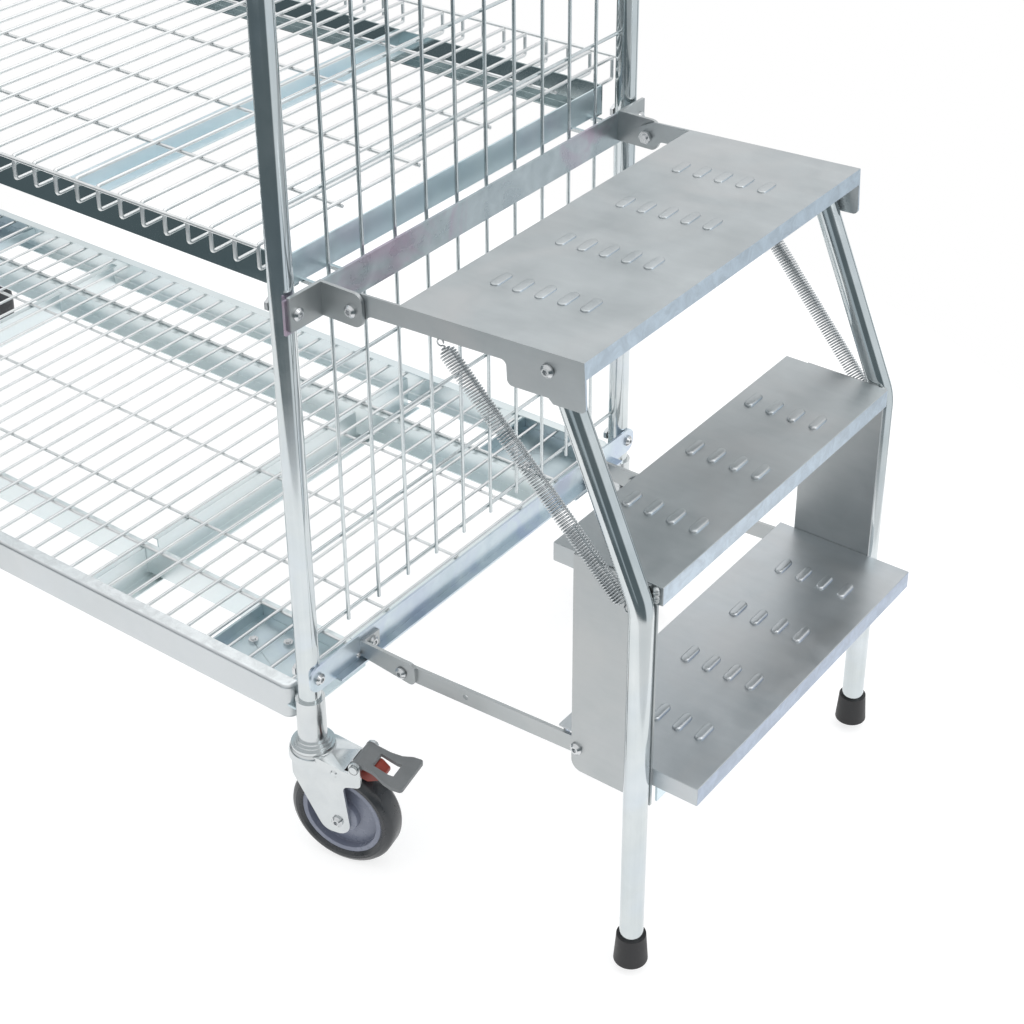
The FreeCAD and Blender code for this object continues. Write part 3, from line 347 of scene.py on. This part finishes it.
moulded_looks = {
    "foot_rubber": dict(
        dark=(0.008, 0.008, 0.009), pale=(0.022, 0.022, 0.024), rough=(0.42, 0.62),
        grain_scale=900.0, grain_depth=0.00006, speck=(0.05, 0.05, 0.052)),
    "hub_grey": dict(
        dark=(0.19, 0.21, 0.275), pale=(0.25, 0.27, 0.335), rough=(0.20, 0.32),
        grain_scale=1500.0, grain_depth=0.00003),
    "tyre_grey": dict(
        dark=(0.026, 0.029, 0.033), pale=(0.044, 0.048, 0.053), rough=(0.22, 0.36),
        grain_scale=1100.0, grain_depth=0.00004, speck=(0.08, 0.08, 0.085)),
    "pedal_grey": dict(
        dark=(0.15, 0.16, 0.165), pale=(0.21, 0.22, 0.225), rough=(0.36, 0.5),
        grain_scale=1300.0, grain_depth=0.00005),
    "brake_red": dict(
        dark=(0.20, 0.028, 0.018), pale=(0.34, 0.055, 0.035), rough=(0.34, 0.5),
        grain_scale=1200.0, grain_depth=0.00005),
}
materials = {name: zinc(name, **look) for name, look in zinc_looks.items()}
materials.update({name: moulded(name, **look) for name, look in moulded_looks.items()})

look_nodes = {
    "bright_zinc_tube": ["step_end_bow", "far_end_bow", "near_leg", "far_leg"],
    "caster_zinc": ["caster_sockets", "caster_heads"],
    "grey_zinc_sheet": ["near_side_plate", "far_side_plate", "hinge_brackets", "strut_brackets",
                        "near_strut", "far_strut"],
    "tread_zinc": ["platform", "mid_tread"],
    "low_tread_zinc": ["low_tread"],
    "rail_zinc": ["deck_front_rail"],
    "passivated_zinc": ["step_top_bar"],
    "blue_zinc_profile": ["shelf_end_beams", "shelf_cross_members", "leg_tie_bar"],
    "plate_zinc": ["corner_plates"],
    "low_bar_zinc": ["step_low_bar"],
    "dark_zinc_profile": ["shelf_front_beam", "shelf_rear_beam"],
    "deck_zinc": ["deck_rear_rail", "deck_inner_beams", "deck_cross_members", "deck_end_members"],
    "zinc_wire": ["deck_mesh", "shelf_mesh"],
    "mesh_wire": ["step_end_mesh", "far_end_mesh", "shelf_clips"],
    "bolt_steel": ["corner_bolts", "frame_bolts", "hinge_bolts", "step_bolts"],
    "spring_steel": ["near_spring", "far_spring"],
    "foot_rubber": ["rubber_feet"],
    "hub_grey": [],
    "tyre_grey": [],
    "pedal_grey": ["step_near_brake_pedal", "step_far_brake_pedal"],
    "brake_red": ["step_near_brake_shoe", "step_far_brake_shoe"],
}
for corner in ("step_near_", "step_far_", "back_near_", "back_far_"):
    for look, part in (("caster_zinc", "fork"), ("bolt_steel", "axle"), ("hub_grey", "hub"), ("tyre_grey", "tyre")):
        look_nodes[look].append(corner + part)

# the record names fewer finishes than there are looks
look_of = {}
for look, names in look_nodes.items():
    for name in names:
        look_of[name] = look
        nodes[name].data.materials.clear()
        nodes[name].data.materials.append(materials[look])


# smooth shading and soft edges on the carried-over solids

def smoothing_group():
    """Geometry nodes that shade smooth across every edge flatter than sharp_angle."""
    tree = bpy.data.node_groups.new("smooth_by_angle", "GeometryNodeTree")
    tree.interface.new_socket("Geometry", in_out="INPUT", socket_type="NodeSocketGeometry")
    tree.interface.new_socket("Geometry", in_out="OUTPUT", socket_type="NodeSocketGeometry")
    start = tree.nodes.new("NodeGroupInput")
    end = tree.nodes.new("NodeGroupOutput")
    join = tree.nodes.new("GeometryNodeMergeByDistance")
    join.inputs["Distance"].default_value = join_distance
    angle = tree.nodes.new("GeometryNodeInputMeshEdgeAngle")
    flat = tree.nodes.new("FunctionNodeCompare")
    flat.operation = "LESS_THAN"
    flat.inputs["B"].default_value = sharp_angle
    faces = tree.nodes.new("GeometryNodeSetShadeSmooth")
    faces.domain = "FACE"
    edges = tree.nodes.new("GeometryNodeSetShadeSmooth")
    edges.domain = "EDGE"
    tree.links.new(start.outputs[0], join.inputs["Geometry"])
    tree.links.new(join.outputs[0], faces.inputs["Geometry"])
    tree.links.new(faces.outputs[0], edges.inputs["Geometry"])
    tree.links.new(angle.outputs["Unsigned Angle"], flat.inputs["A"])
    tree.links.new(flat.outputs[0], edges.inputs["Shade Smooth"])
    tree.links.new(edges.outputs[0], end.inputs[0])
    return tree


edge_width = {"grey_zinc_sheet": 0.0009, "tread_zinc": 0.0009, "low_tread_zinc": 0.0009,
              "blue_zinc_profile": 0.0005, "plate_zinc": 0.0005, "dark_zinc_profile": 0.0005,
              "deck_zinc": 0.0005, "rail_zinc": 0.0005, "bolt_steel": 0.0004,
              "pedal_grey": 0.0008, "hub_grey": 0.0008, "foot_rubber": 0.0010}
plain_edges = ("near_strut", "far_strut", "hinge_brackets")
smooth_tree = smoothing_group()
for name, obj in nodes.items():
    shading = obj.modifiers.new("smooth", "NODES")
    shading.node_group = smooth_tree
    width = edge_width.get(look_of[name])
    if width and name not in plain_edges:
        soft = obj.modifiers.new("soft_edges", "BEVEL")
        soft.width = width
        soft.segments = edge_segments
        soft.limit_method = "ANGLE"
        soft.angle_limit = sharp_angle
        soft.harden_normals = True


# pieces that the scene adds

def circle(count):
    """Angles of evenly spaced places round a full turn."""
    return [2 * math.pi * k / count for k in range(count)]


def filled_mesh(name, verts, faces):
    mesh = bpy.data.meshes.new(name)
    mesh.from_pydata([tuple(v) for v in verts], [], faces)
    return mesh


def add_piece(name, data, look, body):
    """Scene object that rides a body and has one of the looks."""
    piece = bpy.data.objects.new(name, data)
    scene.collection.objects.link(piece)
    data.materials.append(materials[look])
    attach(piece, body)
    return piece


# wires

def rounded(points, radius, steps=5):
    """Polyline through the points with its inner corners rounded."""
    out = [Vector(points[0])]
    for a, b, c in zip(points, points[1:], points[2:]):
        a, b, c = Vector(a), Vector(b), Vector(c)
        start = b + (a - b).normalized() * radius
        end = b + (c - b).normalized() * radius
        for k in range(steps + 1):
            t = k / steps
            out.append(start * (1 - t) ** 2 + b * (2 * t * (1 - t)) + end * t ** 2)
    out.append(Vector(points[-1]))
    return out


def wire_piece(node, runs):
    """Round wires in place of a mesh's square ones."""
    curve = bpy.data.curves.new(node + "_wires", "CURVE")
    curve.dimensions = "3D"
    curve.bevel_depth = round_wire / 2
    curve.bevel_resolution = 2
    curve.use_fill_caps = True
    for run in runs:
        spline = curve.splines.new("POLY")
        spline.points.add(len(run) - 1)
        for point, place in zip(spline.points, run):
            point.co = (*place, 1.0)
    piece = add_piece(node + "_wires", curve, look_of[node], body_of[node])
    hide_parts(node)


def end_mesh_wires(node, outward):
    """Uprights on the outer side of an end mesh, level wires on the inner side."""
    low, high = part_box(node)
    outer, inner = (high.x, low.x) if outward > 0 else (low.x, high.x)
    upright_x = outer - outward * wire / 2
    level_x = inner + outward * wire / 2
    first_y = -mesh_pitch_y * (mesh_columns - 1) / 2
    runs = []
    for i in range(mesh_columns):
        y = first_y + i * mesh_pitch_y
        runs.append([(upright_x, y, low.z), (upright_x, y, high.z)])
    for i in range(mesh_rows):
        z = low.z + mesh_overhang + i * mesh_pitch_z
        runs.append([(level_x, low.y, z), (level_x, high.y, z)])
    wire_piece(node, runs)


def deck_mesh_wires():
    """Long wires below, cross wires on top of them."""
    low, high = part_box("deck_mesh")
    long_z = low.z + wire / 2
    cross_z = high.z - wire / 2
    first_x = low.x + wire / 2
    pitch = (high.x - low.x - wire) / (deck_cross_count - 1)
    runs = [[(low.x, y, long_z), (high.x, y, long_z)] for y in deck_long_ys]
    for i in range(deck_cross_count):
        x = first_x + i * pitch
        runs.append([(x, low.y, cross_z), (x, high.y, cross_z)])
    wire_piece("deck_mesh", runs)


def shelf_mesh_wires():
    """Cross wires bent down and back under the edge, long wires below them and along both edges."""
    low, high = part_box("shelf_mesh")
    top_z = high.z - wire / 2
    hook_z = low.z + wire / 2
    edge_y = high.y - wire / 2
    bend_y = edge_y - wire
    pitch = (high.x - low.x - 2 * shelf_cross_inset) / (shelf_cross_count - 1)
    runs = []
    for i in range(shelf_cross_count):
        x = low.x + shelf_cross_inset + i * pitch
        half = [(x, shelf_return_y, hook_z), (x, bend_y, hook_z), (x, bend_y, top_z)]
        runs.append(rounded([(x, -y, z) for x, y, z in half] + half[::-1], wire_bend))
    runs += [[(low.x, y, top_z - wire), (high.x, y, top_z - wire)] for y in shelf_long_ys]
    runs += [[(low.x, y, top_z), (high.x, y, top_z)] for y in (-edge_y, edge_y)]
    wire_piece("shelf_mesh", runs)


end_mesh_wires("step_end_mesh", 1)
end_mesh_wires("far_end_mesh", -1)
deck_mesh_wires()
shelf_mesh_wires()


# springs

def tube_mesh(name, path, radius, sides=8):
    """Tube along the path, turned along it without twist."""
    verts, faces = [], []
    way = (path[1] - path[0]).normalized()
    side = way.orthogonal().normalized()
    for i, place in enumerate(path):
        ahead = path[min(i + 1, len(path) - 1)] - path[max(i - 1, 0)]
        new_way = ahead.normalized()
        side = way.rotation_difference(new_way) @ side
        way = new_way
        across = way.cross(side)
        for a in circle(sides):
            verts.append(place + (side * math.cos(a) + across * math.sin(a)) * radius)
    for i in range(len(path) - 1):
        for k in range(sides):
            n = (k + 1) % sides
            faces.append((i * sides + k, i * sides + n, (i + 1) * sides + n, (i + 1) * sides + k))
    faces.append(tuple(range(sides - 1, -1, -1)))
    faces.append(tuple(range(len(verts) - sides, len(verts))))
    mesh = filled_mesh(name, verts, faces)
    for face in mesh.polygons:
        face.use_smooth = len(face.vertices) == 4
    return mesh


def coil_path(top, low):
    """Eye at the top end, close coils that narrow at both ends, eye at the low end."""
    line = (low - top).normalized()
    side = line.cross(Vector((0, 1, 0))).normalized()
    across = line.cross(side)
    start = top + line * spring_lead
    length = (low - line * spring_lead - start).length
    total = spring_turns * coil_steps
    eye = []
    for degrees in spring_eye_degrees:
        a = math.radians(degrees)
        eye.append((line * (spring_eye_r * (1 - math.cos(a))), across * (spring_eye_r * math.sin(a))))
    path = [top + along + out for along, out in eye]
    for k in range(total + 1):
        a = 2 * math.pi * k / coil_steps
        taper = min(k, total - k) / (coil_steps * coil_taper_turns)
        swell = min(1.0, coil_end_share + (1 - coil_end_share) * taper)
        out = (side * math.cos(a) + across * math.sin(a)) * spring_coil_r * swell
        path.append(start + line * (length * k / total) + out)
    path += [low - along + out for along, out in reversed(eye)]
    return path


tilt = Matrix.Rotation(-platform_tilt, 3, "Y")
hinge = Vector(joints["platform_lift"]["pos_m"])
spring_foot = Vector(joints["spring_lean"]["pos_m"])
for name, side in (("near_spring", -1), ("far_spring", 1)):
    hook_along, hook_y, hook_up = spring_hook
    top = hinge + tilt @ Vector((hook_along, side * hook_y, hook_up - spring_wire / 2))
    foot = spring_foot + Vector((-spring_wire / 2, side * leg_y, 0))
    mesh = tube_mesh(name + "_coils", coil_path(top, foot), spring_wire / 2)
    piece = add_piece(name + "_coils", mesh, "spring_steel", body_of[name])
    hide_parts(name)
    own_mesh(piece)


# stacked rings, for the grips, weld drops and rivet heads

def stack_faces(first, levels, sides):
    """Faces of a closed stack of rings that starts at vertex first, wound for rings that run clockwise."""
    faces = []
    for level in range(levels - 1):
        for k in range(sides):
            a = first + level * sides + k
            b = first + level * sides + (k + 1) % sides
            faces.append((a, a + sides, b + sides, b))
    last = first + levels * sides - 1
    faces.append(tuple(range(first, first + sides)))
    faces.append(tuple(range(last, last - sides, -1)))
    return faces


def stack_piece(name, verts, levels, sides, look, body, smooth=True):
    """Piece made of equal closed stacks of rings."""
    faces = []
    for first in range(0, len(verts), levels * sides):
        faces += stack_faces(first, levels, sides)
    mesh = filled_mesh(name, verts, faces)
    for face in mesh.polygons:
        face.use_smooth = smooth
    add_piece(name, mesh, look, body)


# raised grips on the treads

def oblong(r, run):
    """Places round an oblong with rounded ends, as (along, aside), clockwise from above."""
    places = []
    for way in (1, -1):
        for k in range(grip_end_steps + 1):
            a = math.pi * (k / grip_end_steps) - math.pi / 2
            places.append((way * (run + r * math.cos(a)), way * r * math.sin(a)))
    return places


def tread_grips(node, first, ys, count, up, ahead, rise, rings):
    """Rows of low pressed-up oblongs: first is the middle of the first one of the row at Y 0."""
    along = Vector((0, 1, 0))
    aside = along.cross(up)
    run = grip_length / 2 - grip_width / 2
    verts = []
    for y in ys:
        for i in range(count):
            place = first + ahead * (grip_pitch * i) + Vector((0, y, 0))
            for share, height in rings:
                for far, wide in oblong(grip_width / 2 * share, run):
                    verts.append(place + along * far + aside * wide + up * (rise * height))
    stack_piece(node + "_grips", verts, len(rings), 2 * (grip_end_steps + 1), look_of[node], body_of[node])


level_up, level_ahead = Vector((0, 0, 1)), Vector((1, 0, 0))
for node, (inset, ys) in tread_grip_rows.items():
    low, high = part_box(node)
    tread_grips(node, Vector((low.x + inset, 0, high.z - cad_grip_rise)), ys, tread_grip_count,
                level_up, level_ahead, grip_rise, domed_grip)
tread_grips("platform", hinge + tilt @ Vector(platform_grip_start), platform_grip_ys, platform_grip_count,
            tilt @ level_up, tilt @ level_ahead, platform_grip_rise, flat_grip)


# weld beads where the middle tread's lip meets the legs

def weld_bead(name, side):
    """Short lumpy bead: round drops in a row that run into each other."""
    low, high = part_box("mid_tread")
    verts = []
    for i in range(weld_drops):
        place = Vector((high.x - weld_back, side * (high.y + weld_gap),
                        high.z - cad_grip_rise - weld_r - weld_step * i))
        r = weld_r * (1.0 + weld_uneven * math.sin(weld_wave * i))
        for level in range(1, weld_levels):
            b = math.pi * level / weld_levels
            for a in circle(weld_sides):
                out = Vector((math.sin(b) * math.cos(a), math.sin(b) * math.sin(a), math.cos(b)))
                verts.append(place + out * r)
    stack_piece(name, verts, weld_levels - 1, weld_sides, "grey_zinc_sheet", body_of["mid_tread"])


weld_bead("near_weld", -1)
weld_bead("far_weld", 1)


# rivet heads on the brake pins

def rivet_heads(corner):
    """Low zinc domes over both ends of a brake pedal's pin."""
    node = corner + "brake_pedal"
    press = joints[corner + "brake_press"]
    middle = Vector(press["pos_m"])
    way = Vector(press["axis"]).normalized()
    side = way.cross(Vector((0, 0, 1))).normalized()
    up = side.cross(way)
    offsets = [nodes[node].matrix_world @ v.co - middle for v in nodes[node].data.vertices]
    reach = [o.dot(way) for o in offsets if o.cross(way).length < rivet_r]
    verts = []
    for end, sign in ((min(reach), -1), (max(reach), 1)):
        for share, depth in rivet_rings:
            out = way * (end + sign * rivet_depth * (depth - rivet_seat))
            for a in circle(rivet_sides):
                round_out = side * math.cos(a) + up * (sign * math.sin(a))
                verts.append(middle + out + round_out * (share * rivet_r))
    stack_piece(node + "_rivets", verts, len(rivet_rings), rivet_sides, "caster_zinc", body_of[node], smooth=False)


rivet_heads("step_near_")
rivet_heads("step_far_")


# floor, light and camera

def floor():
    """Round pale table; its glow keeps it white and its diffuse part takes the shadow."""
    ring = [(floor_reach * math.cos(a), floor_reach * math.sin(a), 0) for a in circle(floor_corners)]
    mesh = filled_mesh("floor", ring, [tuple(range(floor_corners))])
    piece = bpy.data.objects.new("floor", mesh)
    scene.collection.objects.link(piece)
    mat = bpy.data.materials.new("floor_white")
    mat.use_nodes = True
    tree = mat.node_tree
    tree.nodes.clear()
    out = tree.nodes.new("ShaderNodeOutputMaterial")
    add = tree.nodes.new("ShaderNodeAddShader")
    diffuse = tree.nodes.new("ShaderNodeBsdfDiffuse")
    diffuse.inputs["Color"].default_value = (floor_grey, floor_grey, floor_grey, 1)
    glow = tree.nodes.new("ShaderNodeEmission")
    glow.inputs["Color"].default_value = (1, 1, 1, 1)
    glow.inputs["Strength"].default_value = floor_glow
    tree.links.new(diffuse.outputs[0], add.inputs[0])
    tree.links.new(glow.outputs[0], add.inputs[1])
    tree.links.new(add.outputs[0], out.inputs["Surface"])
    mesh.materials.append(mat)


def studio_world():
    """White to the camera; for light and reflections a pale ceiling and floor with darker walls between."""
    world = bpy.data.worlds.new("studio")
    scene.world = world
    world.use_nodes = True
    tree = world.node_tree
    tree.nodes.clear()
    out = tree.nodes.new("ShaderNodeOutputWorld")
    path = tree.nodes.new("ShaderNodeLightPath")
    mix = tree.nodes.new("ShaderNodeMixShader")
    white = tree.nodes.new("ShaderNodeBackground")
    white.inputs["Color"].default_value = (1, 1, 1, 1)
    room = tree.nodes.new("ShaderNodeBackground")
    coords = tree.nodes.new("ShaderNodeTexCoord")
    split = tree.nodes.new("ShaderNodeSeparateXYZ")
    tree.links.new(coords.outputs["Generated"], split.inputs[0])
    turn = tree.nodes.new("ShaderNodeMath")
    turn.operation = "ARCTAN2"
    tree.links.new(split.outputs["Y"], turn.inputs[0])
    tree.links.new(split.outputs["X"], turn.inputs[1])
    around = spread(tree, turn.outputs[0], 0.0, 1.0, -math.pi, math.pi)
    height = split.outputs["Z"]
    low, high = (ramp(tree, around, [((degrees + 180) / 360, colour) for degrees, colour in wall])
                 for wall in (low_wall, high_wall))
    colour = mixed(tree, spread(tree, height, 0.0, 1.0, *wall_edge), low, high)
    colour = mixed(tree, spread(tree, height, 1.0, 0.0, *room_floor_edge), colour, room_floor)
    colour = mixed(tree, spread(tree, height, 0.0, 1.0, *room_ceiling_edge), colour, room_ceiling)
    tree.links.new(colour, room.inputs["Color"])
    room.inputs["Strength"].default_value = room_strength
    share = tree.nodes.new("ShaderNodeMath")
    share.operation = "MULTIPLY_ADD"
    share.use_clamp = True
    share.inputs[1].default_value = white_in_gloss
    tree.links.new(path.outputs["Is Glossy Ray"], share.inputs[0])
    tree.links.new(path.outputs["Is Camera Ray"], share.inputs[2])
    tree.links.new(share.outputs[0], mix.inputs[0])
    tree.links.new(room.outputs[0], mix.inputs[1])
    tree.links.new(white.outputs[0], mix.inputs[2])
    tree.links.new(mix.outputs[0], out.inputs["Surface"])


def area_light(name, place, target, size, power):
    light = bpy.data.lights.new(name, "AREA")
    light.shape = "RECTANGLE"
    light.size, light.size_y = size
    light.energy = power
    lamp = bpy.data.objects.new(name, light)
    scene.collection.objects.link(lamp)
    lamp.location = place
    lamp.rotation_euler = (Vector(target) - Vector(place)).to_track_quat("-Z", "Y").to_euler()
    lamp.visible_camera = False


def photo_camera():
    camera = bpy.data.objects.new("camera", bpy.data.cameras.new("camera"))
    scene.collection.objects.link(camera)
    camera.location = view_place
    level = math.cos(view_rise)
    ahead = -Vector((math.sin(view_turn) * level, -math.cos(view_turn) * level, math.sin(view_rise)))
    roll = Matrix.Rotation(view_roll, 3, "Z").to_quaternion()
    camera.rotation_mode = "QUATERNION"
    camera.rotation_quaternion = ahead.to_track_quat("-Z", "Y") @ roll
    camera.data.sensor_width = view_sensor
    camera.data.lens = view_lens
    camera.data.shift_x, camera.data.shift_y = view_shift
    camera.data.clip_start = view_near
    scene.camera = camera


floor()
studio_world()
for lamp in lamps:
    area_light(*lamp)
photo_camera()
scene.view_settings.view_transform = "Standard"
